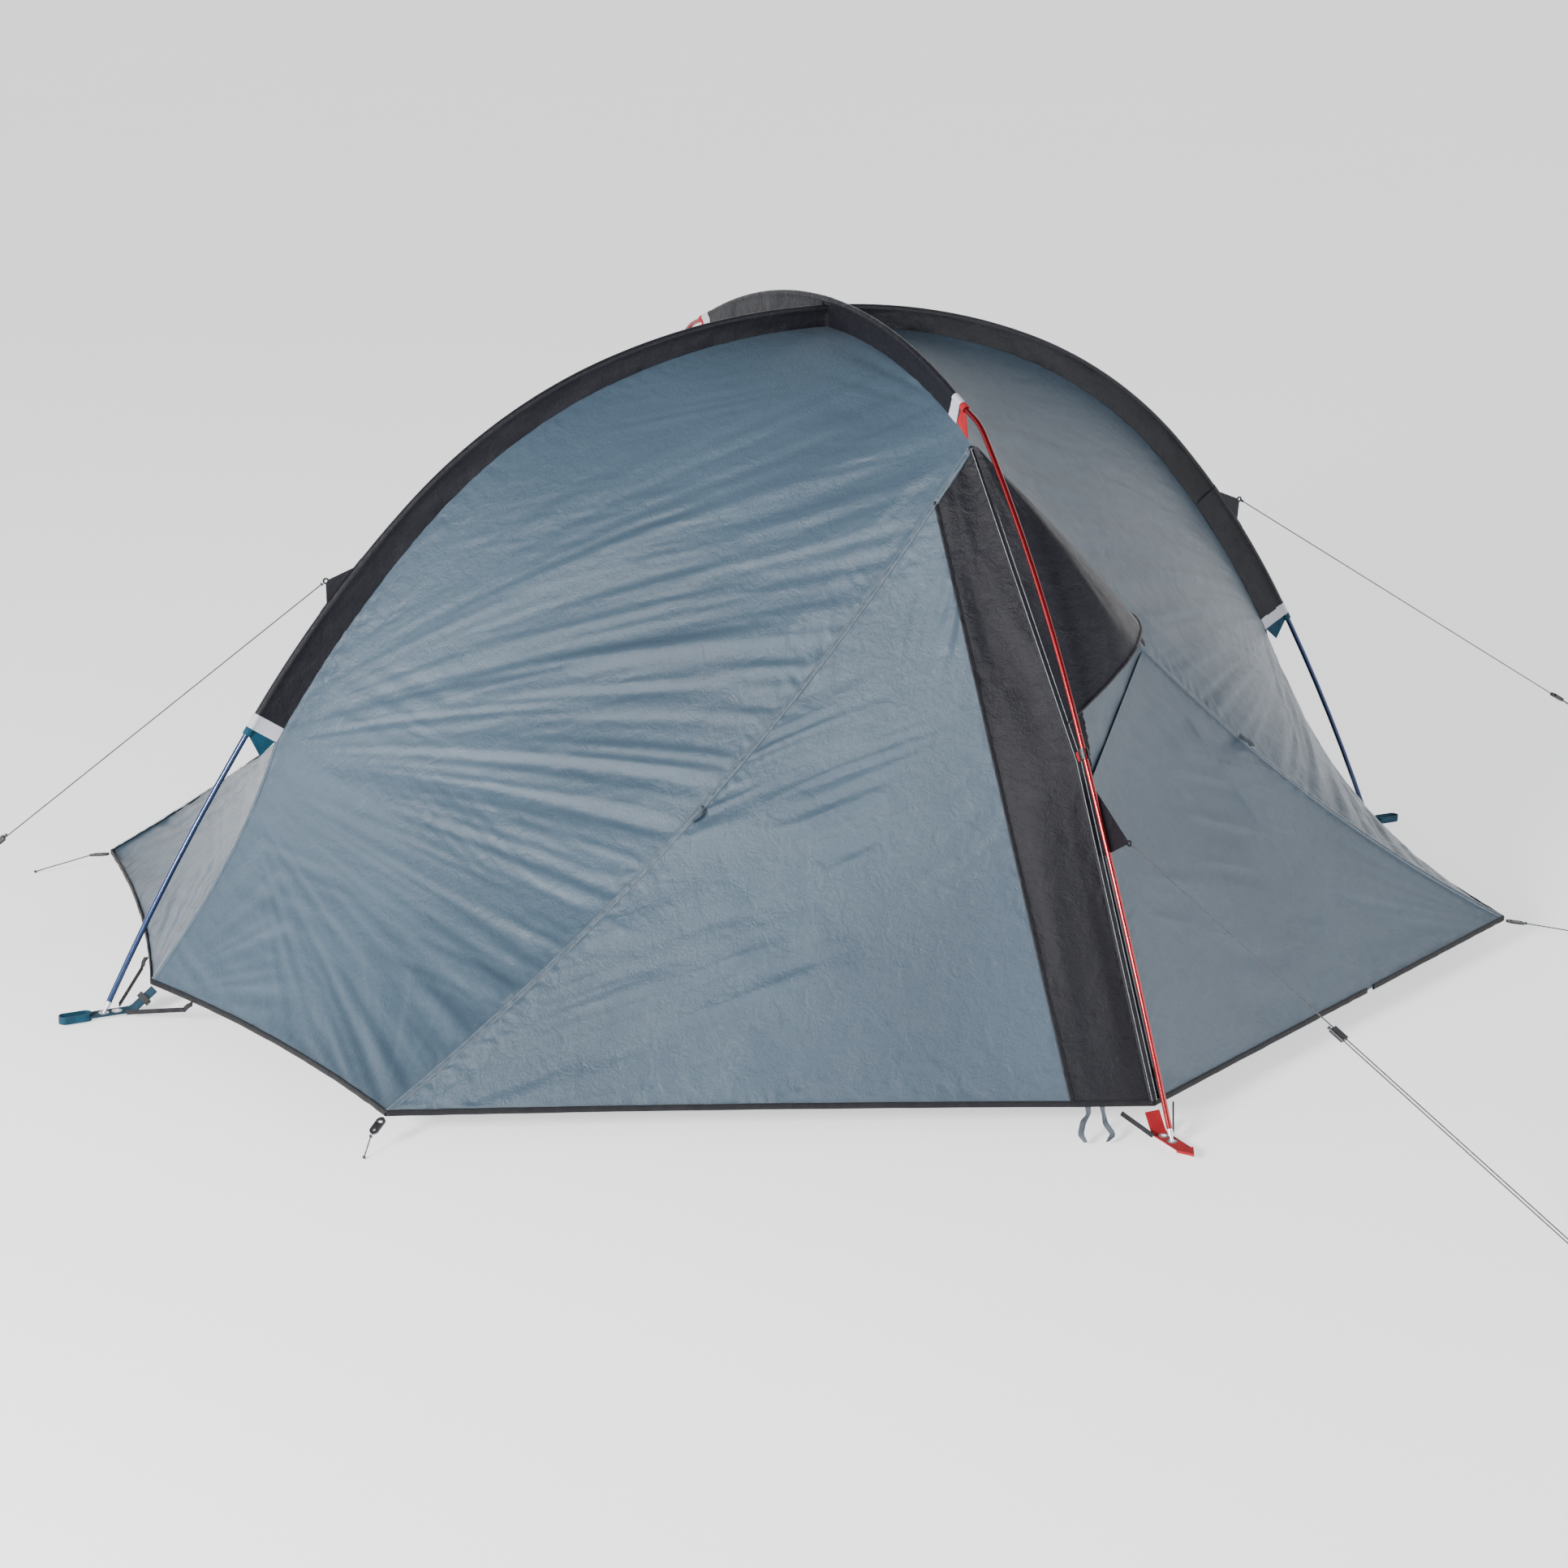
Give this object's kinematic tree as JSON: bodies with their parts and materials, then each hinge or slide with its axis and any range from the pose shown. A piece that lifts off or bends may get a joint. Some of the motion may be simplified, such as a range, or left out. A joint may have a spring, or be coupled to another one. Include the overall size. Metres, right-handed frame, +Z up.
{
  "type": "dome tent",
  "caption": "Pitched dome tent: two crossing sleeved poles, one with elbows, angular flysheet with a fold-back door and hooded vent, inner tent, foot straps and guy lines.",
  "frame": {"origin": "on the ground, centred under the pole crossing", "axes": "+X along the long pole, -Y towards the door, +Z up"},
  "size_m": [3.7482, 2.9476, 1.0685],
  "materials": {
    "fly_fabric": "coated ripstop, satin",
    "dark_fabric": "coated plain weave, satin",
    "mesh_fabric": "fine mesh",
    "reflective_tape": "reflective tape, pale grey",
    "long_pole_anodised": "blue anodised",
    "short_pole_anodised": "red anodised",
    "pole_metal": "bright",
    "shock_cord": "braided elastic",
    "teal_webbing": "woven webbing",
    "red_webbing": "woven webbing",
    "black_webbing": "woven tape",
    "black_plastic": "moulded",
    "zip_tape": "coil zip on tape",
    "guy_cord": "reflective braided cord",
    "inner_fabric": "light breathable fabric",
    "groundsheet_fabric": "coated, satin"
  },
  "bodies": {
    "tent": {"back_band": "dark_fabric", "back_guy": "guy_cord", "back_left_peg_cord": "guy_cord", "back_right_peg_cord": "guy_cord", "base_straps": "black_webbing", "clip_webbing": "red_webbing", "corner_hooks": "black_plastic", "door_ties": "black_webbing", "door_zip": "zip_tape", "eyelets": "pole_metal", "fly_lower_back_left": "fly_fabric", "fly_lower_back_right": "fly_fabric", "fly_lower_front_left": "fly_fabric", "fly_lower_front_right": "fly_fabric", "fly_side_back_left": "fly_fabric", "fly_side_back_right": "fly_fabric", "fly_side_front_left": "fly_fabric", "fly_side_front_right": "fly_fabric", "front_band": "dark_fabric", "front_guy": "guy_cord", "front_left_peg_cord": "guy_cord", "front_right_peg_cord": "guy_cord", "groundsheet": "groundsheet_fabric", "hem_binding": "black_webbing", "inner_back_wall": "inner_fabric", "inner_end_walls": "inner_fabric", "inner_front_wall": "inner_fabric", "inner_hangers": "inner_fabric", "inner_roof": "inner_fabric", "left_guy": "guy_cord", "long_foot_straps": "teal_webbing", "long_guy_tabs": "dark_fabric", "long_pole": "long_pole_anodised", "long_sleeve": "dark_fabric", "long_sleeve_tabs": "teal_webbing", "pole_ferrules": "pole_metal", "pole_tips": "pole_metal", "right_guy": "guy_cord", "shock_cords": "shock_cord", "short_foot_straps": "red_webbing", "short_guy_tabs": "dark_fabric", "short_pole": "short_pole_anodised", "short_sleeve": "dark_fabric", "short_sleeve_tabs": "red_webbing", "sleeve_tapes": "reflective_tape", "strap_buckles": "black_plastic", "vent_hood": "dark_fabric", "vent_mesh": "mesh_fabric"},
    "door": {"fly_door": "fly_fabric", "door_hem_binding": "black_webbing"},
    "zip_slider_body": {"zip_slider": "black_plastic"},
    "vent_stay_body": {"vent_stay": "black_webbing"},
    "front_clip_body": {"front_pole_clip": "black_plastic"},
    "back_clip_body": {"back_pole_clip": "black_plastic"},
    "left_lok_body": {"left_line_lok": "black_plastic"},
    "right_lok_body": {"right_line_lok": "black_plastic"},
    "front_lok_body": {"front_line_lok": "black_plastic"},
    "back_lok_body": {"back_line_lok": "black_plastic"},
    "inner_door_body": {"inner_door": "inner_fabric"},
    "inner_slider_body": {"inner_zip_slider": "black_plastic"}
  },
  "joints": [
    {"name": "door_fold", "type": "hinge", "parent": "tent", "child": "door", "pos_m": [0.3125, -0.50867, 0.56983], "axis": [-0.4309, 0.4428, 0.7863], "range_deg": [0, 115]},
    {"name": "zip_slide", "type": "slide", "parent": "tent", "child": "zip_slider_body", "axis": [0, 0.4856, 0.8742], "range_m": [0, 0.414]},
    {"name": "vent_stay_fold", "type": "hinge", "parent": "tent", "child": "vent_stay_body", "pos_m": [0.31049, -0.51492, 0.57927], "axis": [0.7199, -0.1167, -0.6842], "range_deg": [0, 40]},
    {"name": "front_clip_swivel", "type": "hinge", "parent": "tent", "child": "front_clip_body", "pos_m": [0, -0.80918, 0.5157], "axis": [0, -0.5206, -0.8538], "range_deg": [-10, 10]},
    {"name": "back_clip_swivel", "type": "hinge", "parent": "tent", "child": "back_clip_body", "pos_m": [0, 0.80918, 0.5157], "axis": [0, 0.5206, -0.8538], "range_deg": [-10, 10]},
    {"name": "left_lok_slide", "type": "slide", "parent": "tent", "child": "left_lok_body", "axis": [-0.7614, 0.1872, -0.6207], "range_m": [0, 0.25]},
    {"name": "right_lok_slide", "type": "slide", "parent": "tent", "child": "right_lok_body", "axis": [0.8729, 0, -0.4879], "range_m": [0, 0.25]},
    {"name": "front_lok_slide", "type": "slide", "parent": "tent", "child": "front_lok_body", "axis": [0.3316, -0.8205, -0.4655], "range_m": [0, 0.25]},
    {"name": "back_lok_slide", "type": "slide", "parent": "tent", "child": "back_lok_body", "axis": [0.3257, 0.6394, -0.6965], "range_m": [0, 0.25]},
    {"name": "inner_door_fold", "type": "hinge", "parent": "tent", "child": "inner_door_body", "pos_m": [0, -0.5008, 0.16242], "axis": [-1, 0, 0], "range_deg": [0, 60]},
    {"name": "inner_zip_slide", "type": "slide", "parent": "tent", "child": "inner_slider_body", "axis": [0, 0.4379, 0.899], "range_m": [0, 0.4]}
  ]
}
